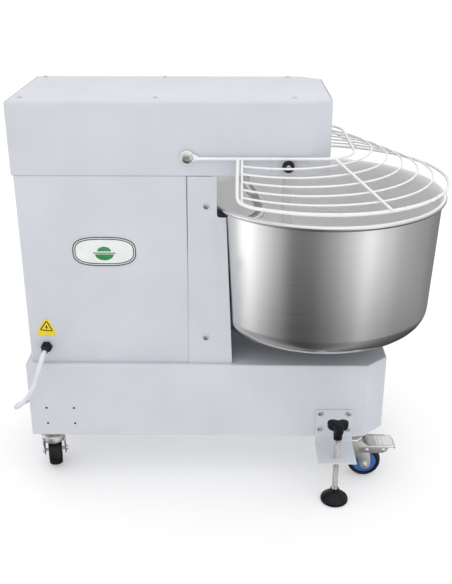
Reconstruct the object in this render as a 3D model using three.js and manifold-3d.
// Spiral dough mixer: a sheet-metal base, column and head on four castors and two levelling feet,
// with a turning bowl, a spiral hook, a fixed breaker bar and a lifting wire guard.
// Millimetres. +Z is up, +X points to the bowl, +Y to the operator's controls.
// The origin is on the floor, under the middle of the machine.
import * as THREE from "three";
import { mergeVertices } from "three/addons/utils/BufferGeometryUtils.js";
import Module from "manifold-3d";

const wasm = await Module();
wasm.setup();

// ---- Driving dimensions -------------------------------------------------------------------

const LENGTH = 900;
const GAP = 0.3; // clearance left between two pieces that touch
const SHEET = 3;
const fromRear = (distance) => distance - LENGTH / 2;

const BASE = { rear: fromRear(0), front: fromRear(780), half: 160, bottom: 120, top: 296 };
const BASE_CHAMFER = { x: 46, y: 43 };
const COLUMN = { rear: fromRear(12), front: fromRear(352), half: 148.5 };
const WING = { rear: fromRear(351), upper: fromRear(412), shoulder: fromRear(430.5), foot: fromRear(443) };
const WING_STEP = 624; // height at which the side plate steps back to let the bowl's rim pass
const HEAD = { rear: fromRear(8), front: fromRear(636), half: 150, bottom: 708, top: 852 };
const HEAD_CHAMFER = { x: 44, y: 36 };

const BOWL = { x: fromRear(635), rim: 261, top: 253, foot: 243, bottom: 351, height: 291, wall: 3 };
const BOWL_CORNER = 42;
const SPIRAL = { x: fromRear(468), rod: 11, coil: 54, top: 606, low: 390, turns: 1.75 };
const BREAKER = { x: fromRear(561), half: 11, thick: 12, low: 374 };

const DRIVE = { x: fromRear(250), radius: 12.5 };
const CHAIN = { pitch: 19.05, pinion: 10, wheel: 40, low: 196, high: 206 };
const BELT = { low: 800, high: 814, drivePitch: 81, spiralPitch: 36, depth: 4.5 };

const GUARD = { pivotX: fromRear(355), pivotZ: 746.6, sideY: 158, wireZ: 745, front: fromRear(685) };
const GUARD_RINGS = 6; // five thin wires and the outer ring
const ringCentre = (k) => fromRear(545 + 16.2 * (k - 1));
const ringRadius = (k) => 187 + 16.4 * (k - 1);
const ringHeight = (k) => 733 - 12.8 * (k - 1);

const CASTOR = { wheel: 37.5, width: 30, offset: 32 };
const FRONT_CASTOR = { x: fromRear(712), y: 126, heading: 0 };
const REAR_CASTOR = { x: fromRear(38), y: 124, heading: (102 * Math.PI) / 180 };
const FOOT = { x: fromRear(668), y: 228, rod: 6, pad: 30, shelf: 106 };
const GLAND = { x: fromRear(48), z: 334, reach: 10 };
const CORD_RADIUS = 5;

// ---- Materials ----------------------------------------------------------------------------

const finish = (color, roughness, metalness) =>
  new THREE.MeshStandardMaterial({ color, roughness, metalness });
const whiteEnamel = finish(0xdfe1e6, 0.42, 0);
const stainless = finish(0xb9bbbd, 0.32, 1);
const zinc = finish(0xc9cac8, 0.35, 1);
const darkSteel = finish(0x6d7074, 0.45, 1);
const castIron = finish(0x4c5054, 0.6, 0.6);
const blackPlastic = finish(0x141416, 0.4, 0);
const bluePlastic = finish(0x1c3f9a, 0.4, 0);
const blackRubber = finish(0x17171a, 0.75, 0);
const whiteCable = finish(0xe4e4ea, 0.5, 0);
const greenPlastic = finish(0x1d8a3c, 0.35, 0);
const redPlastic = finish(0xc22020, 0.35, 0);

// ---- Shape helpers ------------------------------------------------------------------------

function solidOf(geometry) {
  const plain = geometry.index ? geometry.toNonIndexed() : geometry.clone();
  plain.deleteAttribute("normal");
  plain.deleteAttribute("uv");
  const merged = mergeVertices(plain, 1e-4);
  return new wasm.Manifold(
    new wasm.Mesh({
      numProp: 3,
      vertProperties: merged.attributes.position.array,
      triVerts: new Uint32Array(merged.index.array),
    }),
  );
}

function geometryOf(solid) {
  const mesh = solid.getMesh();
  const geometry = new THREE.BufferGeometry();
  geometry.setAttribute("position", new THREE.BufferAttribute(mesh.vertProperties, 3));
  geometry.setIndex(new THREE.BufferAttribute(mesh.triVerts, 1));
  geometry.computeVertexNormals();
  return geometry;
}

function join(...pieces) {
  return geometryOf(pieces.map(solidOf).reduce((sum, piece) => sum.add(piece)));
}

function cut(body, ...tools) {
  return geometryOf(tools.map(solidOf).reduce((rest, tool) => rest.subtract(tool), solidOf(body)));
}

function block([x0, x1], [y0, y1], [z0, z1]) {
  const box = new THREE.BoxGeometry(x1 - x0, y1 - y0, z1 - z0);
  return box.translate((x0 + x1) / 2, (y0 + y1) / 2, (z0 + z1) / 2);
}

const outline = (points) => new THREE.Shape(points.map(([x, y]) => new THREE.Vector2(x, y)));

function plate(points, z0, z1) {
  const slab = new THREE.ExtrudeGeometry(outline(points), { depth: z1 - z0, bevelEnabled: false });
  return slab.translate(0, 0, z0);
}

// A plate whose outline is drawn in X and Z, standing between y0 and y1.
function uprightPlate(points, y0, y1) {
  const slab = new THREE.ExtrudeGeometry(outline(points), { depth: y1 - y0, bevelEnabled: false });
  return slab.rotateX(Math.PI / 2).translate(0, y1, 0);
}

// A body of revolution about Z. The profile runs anticlockwise in radius and height.
function turned(profile, segments = 24) {
  const points = profile.map(([radius, height]) => new THREE.Vector2(radius, height));
  return new THREE.LatheGeometry(points, segments).rotateX(Math.PI / 2);
}

const cylinder = (radius, z0, z1, segments = 24) =>
  turned([[0, z0], [radius, z0], [radius, z1], [0, z1]], segments);
const ring = (inner, outer, z0, z1, segments = 24) =>
  turned([[inner, z0], [outer, z0], [outer, z1], [inner, z1], [inner, z0]], segments);

// A tube along a path.
function tube(path, radius, steps, sides = 6) {
  const corners = Array.from({ length: sides }, (_, i) => {
    const angle = (2 * Math.PI * i) / sides;
    return [radius * Math.cos(angle), radius * Math.sin(angle)];
  });
  return new THREE.ExtrudeGeometry(outline(corners), { steps, extrudePath: path, bevelEnabled: false });
}

const vector = ([x, y, z]) => new THREE.Vector3(x, y, z);
const curve = (points) => new THREE.CatmullRomCurve3(points.map(vector), false, "centripetal");
const straight = (a, b) => new THREE.LineCurve3(vector(a), vector(b));
const arc = (cx, cy, radius, from, to, count) =>
  Array.from({ length: count + 1 }, (_, i) => {
    const angle = from + ((to - from) * i) / count;
    return [cx + radius * Math.cos(angle), cy + radius * Math.sin(angle)];
  });
const mirrored = (points) => points.map(([x, y, z]) => [x, -y, z]).reverse();

const mixer = new THREE.Group();

function add(name, geometry, material, parent = mixer) {
  const mesh = new THREE.Mesh(geometry, material);
  mesh.name = name;
  parent.add(mesh);
  return mesh;
}

const SIDES = [["left", -1], ["right", 1]];

// ---- Base ---------------------------------------------------------------------------------

function chamferedBox({ rear, front, half }, chamfer, inset = 0) {
  const side = half - inset;
  const nose = front - inset;
  const slope = inset * 0.42; // keeps the wall even across the 45 degree corner
  return [
    [rear + inset, -side],
    [nose - chamfer.x + slope, -side],
    [nose, -side + chamfer.y - slope],
    [nose, side - chamfer.y + slope],
    [nose - chamfer.x + slope, side],
    [rear + inset, side],
  ];
}

function bracketHoles() {
  const holes = [];
  for (const x of [fromRear(37), fromRear(97)])
    for (const z of [149, 188])
      holes.push(cylinder(2.5, -BASE.half - 1, BASE.half + 1, 6).rotateX(Math.PI / 2).translate(x, 0, z));
  return holes;
}

add(
  "base_shell",
  cut(
    plate(chamferedBox(BASE, BASE_CHAMFER), BASE.bottom, BASE.top),
    plate(chamferedBox(BASE, BASE_CHAMFER, SHEET), BASE.bottom - 1, BASE.top - SHEET),
    cylinder(51, BASE.top - 10, BASE.top + 10).translate(BOWL.x, 0, 0),
    cylinder(18, BASE.top - 10, BASE.top + 10, 16).translate(DRIVE.x, 0, 0),
    ...bracketHoles(),
  ),
  whiteEnamel,
);
const floorOutline = chamferedBox(BASE, BASE_CHAMFER, SHEET + GAP);
add("base_floor", plate(floorOutline, BASE.bottom, BASE.bottom + SHEET), whiteEnamel);

// ---- Column -------------------------------------------------------------------------------

const COLUMN_FOOT = BASE.top + GAP;
const COLUMN_TOP = HEAD.bottom - GAP;
const columnSkin = COLUMN.half + GAP; // where anything fastened to the column's sides starts

add(
  "column_shell",
  cut(
    block([COLUMN.rear, COLUMN.front], [-COLUMN.half, COLUMN.half], [COLUMN_FOOT, COLUMN_TOP]),
    block(
      [COLUMN.rear + SHEET, COLUMN.front + 1],
      [-COLUMN.half + SHEET, COLUMN.half - SHEET],
      [COLUMN_FOOT - 1, COLUMN_TOP + 1],
    ),
  ),
  whiteEnamel,
);
add(
  "column_front_panel",
  block(
    [COLUMN.front - 2 * SHEET, COLUMN.front - SHEET],
    [-COLUMN.half + SHEET + GAP, COLUMN.half - SHEET - GAP],
    [COLUMN_FOOT, COLUMN_TOP],
  ),
  whiteEnamel,
);

// The side plates lap the column and reach forward past the bowl, with a step for its rim.
const wing = [
  [WING.rear, COLUMN_FOOT],
  [WING.foot, COLUMN_FOOT],
  [WING.shoulder, WING_STEP],
  [WING.upper + 7, WING_STEP],
  [WING.upper, WING_STEP + 7],
  [WING.upper, COLUMN_TOP],
  [WING.rear + 6, COLUMN_TOP],
];
for (const [side, sign] of SIDES) {
  const [y0, y1] = [sign * columnSkin, sign * (columnSkin + 2)].sort((a, b) => a - b);
  add(`side_plate_${side}`, uprightPlate(wing, y0, y1), whiteEnamel);
}

// ---- Head ---------------------------------------------------------------------------------

const LID_FOOT = HEAD.top - SHEET;
add(
  "head_shell",
  cut(
    plate(chamferedBox(HEAD, HEAD_CHAMFER), HEAD.bottom, LID_FOOT - GAP),
    plate(chamferedBox(HEAD, HEAD_CHAMFER, SHEET), HEAD.bottom + SHEET, HEAD.top),
    block([COLUMN.rear + 20, COLUMN.front - 30], [-120, 120], [HEAD.bottom - 1, HEAD.bottom + 4]),
    cylinder(24, HEAD.bottom - 1, HEAD.bottom + 4, 16).translate(SPIRAL.x, 0, 0),
  ),
  whiteEnamel,
);
add("head_lid", plate(chamferedBox(HEAD, HEAD_CHAMFER), LID_FOOT, HEAD.top), whiteEnamel);

add(
  "breaker_bar",
  block(
    [BREAKER.x - BREAKER.half, BREAKER.x + BREAKER.half],
    [-BREAKER.thick / 2, BREAKER.thick / 2],
    [BREAKER.low, HEAD.bottom - GAP],
  ),
  stainless,
);

// ---- Bowl ---------------------------------------------------------------------------------

function bowlProfile() {
  const { foot, top, rim, bottom, height, wall } = BOWL;
  const lip = bottom + height;
  const corner = (inset) =>
    arc(foot - BOWL_CORNER, bottom + BOWL_CORNER, BOWL_CORNER - inset, -Math.PI / 2, 0, 3);
  return [
    [0, bottom],
    ...corner(0),
    [top, lip - 14],
    [rim - 4, lip - 12],
    [rim, lip - 6],
    [rim - 4, lip],
    [top - wall, lip],
    ...corner(wall).reverse(),
    [0, bottom + wall],
  ];
}
add("bowl", turned(bowlProfile(), 36).translate(BOWL.x, 0, 0), stainless);

const HUB = { flange: 75, neck: 30, low: 188 };
add(
  "bowl_hub",
  turned([
    [0, HUB.low],
    [HUB.neck, HUB.low],
    [HUB.neck, BOWL.bottom - 14],
    [HUB.flange, BOWL.bottom - 12],
    [HUB.flange, BOWL.bottom - GAP],
    [0, BOWL.bottom - GAP],
  ]).translate(BOWL.x, 0, 0),
  darkSteel,
);
add(
  "bowl_bearing_housing",
  turned([
    [HUB.neck + GAP, 246],
    [49, 246],
    [49, BASE.top + GAP],
    [84, BASE.top + GAP],
    [84, BASE.top + 10],
    [46, BASE.top + 14],
    [46, BASE.top + 34],
    [HUB.neck + GAP, BASE.top + 34],
    [HUB.neck + GAP, 246],
  ]).translate(BOWL.x, 0, 0),
  castIron,
);

// ---- Chain drive from the vertical drive shaft to the bowl -------------------------------------

const pitchRadius = (teeth) => CHAIN.pitch / (2 * Math.sin(Math.PI / teeth));
const tipRadius = (teeth) => pitchRadius(teeth) + 0.3 * CHAIN.pitch;

function toothedDisc(teeth, z0, z1) {
  const points = [];
  for (let tooth = 0; tooth < teeth; tooth++) {
    const root = pitchRadius(teeth) - 0.3 * CHAIN.pitch;
    const radii = [root, tipRadius(teeth), root];
    radii.forEach((radius, i) => {
      const angle = (2 * Math.PI * (tooth + 0.1 + 0.3 * i)) / teeth;
      points.push([radius * Math.cos(angle), radius * Math.sin(angle)]);
    });
  }
  return plate(points, z0, z1);
}

// A flat loop round two wheels on the X axis, with its inner edge clear of both.
function loop(a, b, radiusA, radiusB, thickness, z0, z1) {
  const lean = Math.acos((radiusA - radiusB) / Math.abs(b - a));
  const side = b > a ? 0 : Math.PI;
  const wrap = (centre, radius, from, to, count) => {
    const outside = radius / Math.cos((to - from) / count / 2);
    return arc(centre, 0, outside, from, to, count);
  };
  const around = (grow) => [
    ...wrap(b, radiusB + grow, side - lean, side + lean, 16),
    ...wrap(a, radiusA + grow, side + lean, side + 2 * Math.PI - lean, 16),
  ];
  return cut(plate(around(thickness), z0, z1), plate(around(0), z0 - 1, z1 + 1));
}

add(
  "bowl_sprocket",
  cut(
    toothedDisc(CHAIN.wheel, CHAIN.low, CHAIN.high).translate(BOWL.x, 0, 0),
    cylinder(HUB.neck + GAP, CHAIN.low - 1, CHAIN.high + 1).translate(BOWL.x, 0, 0),
  ),
  darkSteel,
);
add(
  "drive_shaft",
  join(
    cylinder(DRIVE.radius, 176, BELT.high + 14, 16).translate(DRIVE.x, 0, 0),
    toothedDisc(CHAIN.pinion, CHAIN.low, CHAIN.high).translate(DRIVE.x, 0, 0),
  ),
  darkSteel,
);
add(
  "bowl_chain",
  loop(
    DRIVE.x,
    BOWL.x,
    tipRadius(CHAIN.pinion) + 0.6,
    tipRadius(CHAIN.wheel) + 0.6,
    6,
    CHAIN.low,
    CHAIN.high,
  ),
  darkSteel,
);

// ---- Belt drive from the drive shaft to the spiral ---------------------------------------------

function pulley(pitch, bore) {
  const floor = pitch - BELT.depth;
  const rim = pitch + BELT.depth;
  return turned([
    [bore, BELT.low - 5],
    [rim, BELT.low - 5],
    [rim, BELT.low - GAP],
    [floor, BELT.low - GAP],
    [floor, BELT.high + GAP],
    [rim, BELT.high + GAP],
    [rim, BELT.high + 5],
    [bore, BELT.high + 5],
    [bore, BELT.low - 5],
  ]);
}

const SPIRAL_SHAFT = 17;
add("drive_pulley", pulley(BELT.drivePitch, DRIVE.radius + GAP).translate(DRIVE.x, 0, 0), castIron);
add("spiral_pulley", pulley(BELT.spiralPitch, SPIRAL_SHAFT + GAP).translate(SPIRAL.x, 0, 0), castIron);
add(
  "drive_belt",
  loop(
    SPIRAL.x,
    DRIVE.x,
    BELT.spiralPitch - BELT.depth + 0.5,
    BELT.drivePitch - BELT.depth + 0.5,
    7,
    BELT.low,
    BELT.high,
  ),
  blackRubber,
);

// ---- Spiral hook and its bearing ---------------------------------------------------------------

function spiralPath() {
  const { x, coil, top, low, turns } = SPIRAL;
  const points = [[x, 0, 700], [x, 0, 670], [x + 3, 0, 648], [x + 20, -4, 628]];
  const steps = Math.round(turns * 12);
  for (let i = 1; i <= steps; i++) {
    const part = i / steps;
    const angle = -0.25 - 2 * Math.PI * turns * part;
    const reach = coil * Math.min(1, 0.72 + 2.2 * part);
    points.push([x + reach * Math.cos(angle), reach * Math.sin(angle), top + (low - top) * part]);
  }
  return curve(points);
}

add(
  "spiral_hook",
  join(
    cylinder(SPIRAL_SHAFT, 692, BELT.high + 12, 20).translate(SPIRAL.x, 0, 0),
    tube(spiralPath(), SPIRAL.rod, 40, 8),
  ),
  stainless,
);
add(
  "spiral_bearing_housing",
  turned([
    [SPIRAL_SHAFT + GAP, HEAD.bottom + SHEET + GAP],
    [60, HEAD.bottom + SHEET + GAP],
    [60, HEAD.bottom + SHEET + 12],
    [38, HEAD.bottom + SHEET + 14],
    [38, BELT.low - 12],
    [SPIRAL_SHAFT + GAP, BELT.low - 12],
    [SPIRAL_SHAFT + GAP, HEAD.bottom + SHEET + GAP],
  ]).translate(SPIRAL.x, 0, 0),
  castIron,
);

// ---- Gearmotor: gearbox round the drive shaft, motor lying to the rear --------------------------

const columnInside = COLUMN.half - SHEET - GAP;
add(
  "gearmotor",
  cut(
    join(
      block([DRIVE.x - 70, DRIVE.x + 70], [-60, 60], [474, 590]),
      cylinder(62, COLUMN.rear + 22, DRIVE.x - 68).rotateY(Math.PI / 2).translate(0, 0, 532),
      block([DRIVE.x - 178, DRIVE.x - 110], [-34, 34], [580, 626]),
      block([DRIVE.x - 80, DRIVE.x + 80], [-columnInside, columnInside], [468, 475]),
    ),
    cylinder(DRIVE.radius + GAP, 460, 600, 16).translate(DRIVE.x, 0, 0),
  ),
  castIron,
);

// ---- Lifting wire guard -------------------------------------------------------------------------

const BAR_X = fromRear(453); // the guard's rear edge, where the outer ring turns up
const INNER_BAR_X = BAR_X + 8;

function ringPoints(k, startX, count) {
  const reach = Math.acos((startX - ringCentre(k)) / ringRadius(k));
  return arc(ringCentre(k), 0, ringRadius(k), -reach, reach, count).map(([x, y]) => [x, y, ringHeight(k)]);
}

function guardFrame() {
  const { pivotX, sideY, wireZ, front } = GUARD;
  const corner = 72;
  const half = [
    [pivotX + 14, -sideY + 1, wireZ],
    [pivotX + 90, -sideY, wireZ],
    [pivotX + 180, -sideY, wireZ],
    ...arc(front - corner, -sideY + corner, corner, -Math.PI / 2, 0, 4).map(([x, y]) => [x, y, wireZ]),
    [front, 0, wireZ],
  ];
  return curve([...half, ...mirrored(half.slice(0, -1))]);
}

function outerRing() {
  const turnUp = [[BAR_X, -GUARD.sideY - 1, GUARD.wireZ], [BAR_X - 1, -190, 694], [BAR_X + 1, -203, 675]];
  return curve([...turnUp, ...ringPoints(GUARD_RINGS, BAR_X + 22, 16), ...mirrored(turnUp)]);
}

function guard() {
  const pieces = [tube(guardFrame(), 3.5, 36), tube(outerRing(), 4, 44)];
  for (let k = 1; k < GUARD_RINGS; k++)
    pieces.push(tube(curve(ringPoints(k, INNER_BAR_X, 14)), 2.2, 18, 5));
  for (const sign of [-1, 1]) {
    const barFoot = [INNER_BAR_X, sign * 209, ringHeight(GUARD_RINGS)];
    pieces.push(tube(straight([INNER_BAR_X, sign * 157, GUARD.wireZ], barFoot), 3, 1));
    const rodTop = [fromRear(639), sign * 151, GUARD.wireZ + 1];
    pieces.push(tube(straight(rodTop, [fromRear(740), sign * 250, 672]), 3, 1));
    const [y0, y1] = [sign * 153.5, sign * 157.5].sort((a, b) => a - b);
    const lug = arc(GUARD.pivotX, GUARD.pivotZ, 13.5, 0.6, 2 * Math.PI - 0.6, 9);
    lug.push([GUARD.pivotX + 24, GUARD.pivotZ - 5], [GUARD.pivotX + 24, GUARD.pivotZ + 2]);
    pieces.push(uprightPlate(lug, y0, y1));
  }
  const bolts = cylinder(5.3, -170, 170, 16).rotateX(Math.PI / 2).translate(GUARD.pivotX, 0, GUARD.pivotZ);
  return cut(join(...pieces), bolts);
}
add("guard", guard(), whiteEnamel);

// A body of revolution about Y that points away from the head, on the left or the right.
function sideways(geometry, sign, x, z) {
  return geometry.rotateX((-sign * Math.PI) / 2).translate(x, 0, z);
}

for (const [side, sign] of SIDES) {
  const skin = HEAD.half + GAP;
  const bolt = turned(
    [[0, skin], [9, skin], [9, 153.2], [5, 153.2], [5, 157.8], [11.3, 157.8], [11.3, 162.5], [0, 164]],
    16,
  );
  add(`guard_bolt_${side}`, sideways(bolt, sign, GUARD.pivotX, GUARD.pivotZ), zinc);
  const bumper = turned([[0, skin], [11, skin], [12, skin + 3], [11, skin + 9], [0, skin + 10]], 16);
  add(`guard_bumper_${side}`, sideways(bumper, sign, fromRear(551), 728.5), blackRubber);
}

// ---- Levelling feet -----------------------------------------------------------------------------

function footBracket(sign) {
  const face = BASE.half + GAP;
  const reach = [sign * face, sign * (face + 88)].sort((a, b) => a - b);
  const back = [sign * face, sign * (face + SHEET)].sort((a, b) => a - b);
  const span = [FOOT.x - 41, FOOT.x + 41];
  return cut(
    join(
      block(span, reach, [FOOT.shelf, FOOT.shelf + SHEET]),
      block(span, back, [FOOT.shelf, 188]),
      cylinder(10, FOOT.shelf - 8, FOOT.shelf + 1, 6).translate(FOOT.x, sign * FOOT.y, 0),
    ),
    cylinder(FOOT.rod + 0.4, FOOT.shelf - 9, FOOT.shelf + 4, 16).translate(FOOT.x, sign * FOOT.y, 0),
  );
}

// Three lobes round a knob, drawn as a wavy circle.
function knobOutline(radius, wave, count) {
  return Array.from({ length: count }, (_, i) => {
    const angle = (2 * Math.PI * i) / count;
    const reach = radius + wave * Math.sin(3 * angle);
    return [reach * Math.cos(angle), reach * Math.sin(angle)];
  });
}

const KNOB = { low: 157, neck: 178, high: 197 };
const PAD_TOP = 30;
const padProfile = [
  [0, 0], [FOOT.pad - 1, 0], [FOOT.pad, 3], [FOOT.pad - 1, 8], [11, 23], [9.5, PAD_TOP], [0, PAD_TOP],
];
const screwProfile = [
  [0, PAD_TOP + GAP], [8, PAD_TOP + GAP], [8, PAD_TOP + 5], [FOOT.rod, PAD_TOP + 7],
  [FOOT.rod, KNOB.low - GAP], [0, KNOB.low - GAP],
];
for (const [side, sign] of SIDES) {
  const place = (geometry) => geometry.translate(FOOT.x, sign * FOOT.y, 0);
  add(`foot_bracket_${side}`, footBracket(sign), whiteEnamel);
  add(`foot_pad_${side}`, place(turned(padProfile)), blackPlastic);
  add(`foot_screw_${side}`, place(turned(screwProfile, 12)), zinc);
  const lobes = plate(knobOutline(19, 6, 30), KNOB.neck, KNOB.high);
  add(`foot_knob_${side}`, place(join(cylinder(9.5, KNOB.low, KNOB.neck + 1, 12), lobes)), blackPlastic);
}

// ---- Castors ------------------------------------------------------------------------------------

function castorFork() {
  const { wheel, offset } = CASTOR;
  const leg = [
    [-21, 100], [21, 100], [40, 84], [44, 50],
    ...arc(offset, wheel, 12, 0, -Math.PI, 4),
    [offset - 16, 52], [-21, 86],
  ];
  return join(
    cylinder(27, 97, 106, 20),
    uprightPlate(leg, 22, 24.5),
    uprightPlate(leg, -24.5, -22),
    cylinder(4, -29, 29, 12).rotateX(Math.PI / 2).translate(offset, 0, wheel),
  );
}

function castorWheel(profile) {
  const points = profile.map(([radius, height]) => new THREE.Vector2(radius, height));
  return new THREE.LatheGeometry(points, 20).translate(CASTOR.offset, 0, CASTOR.wheel);
}

const halfWheel = CASTOR.width / 2;
const HUB_RADIUS = 27;
const hubProfile = [
  [4.3, -halfWheel], [12, -halfWheel], [14, -9], [HUB_RADIUS, -11],
  [HUB_RADIUS, 11], [14, 9], [12, halfWheel], [4.3, halfWheel], [4.3, -halfWheel],
];
const tyreProfile = [
  [HUB_RADIUS + 0.4, -12], [32, -halfWheel], [CASTOR.wheel, -10],
  [CASTOR.wheel, 10], [32, halfWheel], [HUB_RADIUS + 0.4, 12], [HUB_RADIUS + 0.4, -12],
];

// The wheel trails inwards on both sides: the heading is counted from +X towards the middle.
function castor(name, { x, y, heading }, sign, braked) {
  const place = new THREE.Group();
  place.position.set(x, sign * y, 0);
  place.rotation.z = -sign * heading;
  mixer.add(place);
  const flange = block([-28, 28], [-28, 28], [116, BASE.bottom - GAP]);
  add(`castor_plate_${name}`, join(cylinder(22, 106 + GAP, 117, 20), flange), zinc, place);
  add(`castor_fork_${name}`, castorFork(), zinc, place);
  add(`castor_hub_${name}`, castorWheel(hubProfile), bluePlastic, place);
  add(`castor_tyre_${name}`, castorWheel(tyreProfile), blackRubber, place);
  if (braked) {
    const tread = [[8, 78.5], [58, 78.5], [98, 82], [98, 85.5], [58, 82], [8, 82]];
    add(`brake_pedal_${name}`, uprightPlate(tread, -20, 20), zinc, place);
  }
}

for (const [side, sign] of SIDES) {
  castor(`front_${side}`, FRONT_CASTOR, sign, true);
  castor(`rear_${side}`, REAR_CASTOR, sign, false);
}

// ---- Controls, on the operator's side of the column ---------------------------------------------

const PANEL = { x: fromRear(200), z: 625, half: 75, rise: 62, skin: columnSkin };
const CONTROLS = [
  {
    name: "start_button", x: -42, z: -24, hole: 11.5, look: greenPlastic,
    cap: [[0, 0], [11, 0], [11, 17], [9, 18], [0, 18]],
  },
  {
    name: "stop_button", x: 28, z: -24, hole: 11.5, look: redPlastic,
    cap: [[0, 0], [11, 0], [11, 20], [20, 22], [20, 30], [16, 33], [0, 34]],
  },
  {
    name: "timer_knob", x: 0, z: 32, hole: 6.5, look: blackPlastic,
    cap: [[0, 0], [6, 0], [6, 13.5], [19, 13.5], [17, 30], [0, 30]],
  },
];

const onPanel = (geometry, { x, z }) => sideways(geometry, 1, PANEL.x + x, PANEL.z + z);
const panelFace = PANEL.skin + 12;
const panelBox = block(
  [PANEL.x - PANEL.half, PANEL.x + PANEL.half],
  [PANEL.skin, panelFace],
  [PANEL.z - PANEL.rise, PANEL.z + PANEL.rise],
);
function controlHole(control) {
  return onPanel(cylinder(control.hole, PANEL.skin + 2, panelFace + 1, 16), control);
}
add("control_panel", cut(panelBox, ...CONTROLS.map(controlHole)), blackPlastic);
// Each control stands in a blind hole whose floor is 8 mm behind its resting foot.
for (const control of CONTROLS) {
  const raised = turned(control.cap.map(([radius, height]) => [radius, height + PANEL.skin + 7.5]), 16);
  add(control.name, onPanel(raised, control), control.look);
}

// ---- Mains cord ---------------------------------------------------------------------------------

const glandFace = -COLUMN.half - GAP - GLAND.reach;
const glandProfile = [
  [0, columnSkin], [12.5, columnSkin], [12.5, columnSkin + 7], [10, -glandFace], [0, -glandFace],
];
add("cable_gland", sideways(turned(glandProfile, 12), -1, GLAND.x, GLAND.z), blackPlastic);

// Out of the gland, down past the rear corner of the base and along the floor to the coil.
const cordRoute = [
  [48, glandFace - GAP, 334], [48, -177, 333.5], [46.8, -194.5, 328.5], [43, -208, 315],
  [37, -214.5, 295], [25.5, -213, 267], [9, -205, 239], [-11, -191, 214],
  [-26, -169, 195], [-33, -141, 181], [-34, -108, 167], [-34, -72, 150],
  [-37, -30, 131], [-42, 14, 108], [-46, 58, 80], [-49, 96, 52],
  [-50, 130, 28], [-46, 164, 11], [-34, 192, 5.5], [-10, 209, 5.3],
  [22, 217, 5.3], [58, 222, 5.3], [94, 231, 5.3], [123.3, 244, 5.3],
].map(([x, y, z]) => [fromRear(x), y, z]);
add("cord", tube(curve(cordRoute), CORD_RADIUS, 44, 8), whiteCable);

// The spare length is wound flat behind the base: two turns side by side, two layers high.
const COIL = { x: fromRear(182), y: 205, inner: 45, outer: 66, height: 21 };
const coilRing = ring(COIL.inner, COIL.outer, GAP, COIL.height, 32);
add("cord_coil", coilRing.translate(COIL.x, COIL.y, 0), whiteCable);

// The plug lies where the outermost turn runs out of the coil.
const PLUG = { x: COIL.x + COIL.outer - CORD_RADIUS - 0.5, y: COIL.y - 40, radius: 17 };
add(
  "plug",
  join(
    turned([[0, 0], [6, 0], [9, 22], [PLUG.radius, 34], [PLUG.radius, 58], [0, 58]], 16),
    cylinder(2.4, 57, 77, 8).translate(9.5, 0, 0),
    cylinder(2.4, 57, 77, 8).translate(-9.5, 0, 0),
  )
    .rotateX(Math.PI / 2)
    .translate(PLUG.x, PLUG.y, PLUG.radius + GAP),
  whiteCable,
);

export default mixer;
